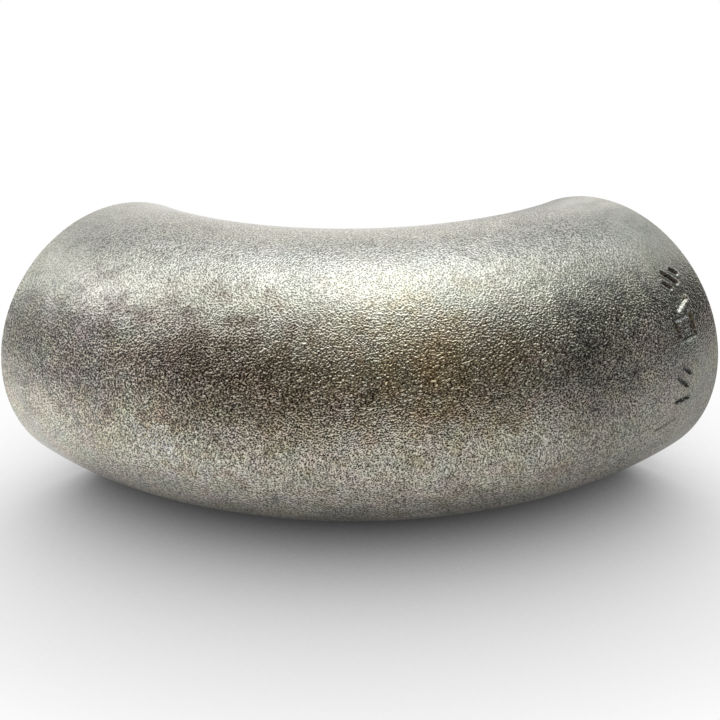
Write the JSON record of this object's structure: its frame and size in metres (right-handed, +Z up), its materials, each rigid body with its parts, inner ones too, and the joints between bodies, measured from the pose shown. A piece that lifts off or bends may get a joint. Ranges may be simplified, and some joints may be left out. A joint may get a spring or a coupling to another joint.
{
  "type": "butt-weld elbow",
  "caption": "Long-radius right-angle pipe elbow in blasted stainless steel, with bevelled ends for butt welding.",
  "frame": {"origin": "Under the middle of the elbow's bounding box, on the surface that it lies on.", "axes": "+X runs from one weld end to the other, the longest way across. +Z is up, square to the bend's plane, and the shortest way through. The outer side of the bend faces -Y, and the ends look towards +X+Y and -X+Y."},
  "size_m": [0.1478, 0.0726, 0.0603],
  "materials": {
    "blasted_stainless_steel": "satin"
  },
  "bodies": {
    "root": {"elbow": "blasted_stainless_steel"}
  },
  "joints": []
}
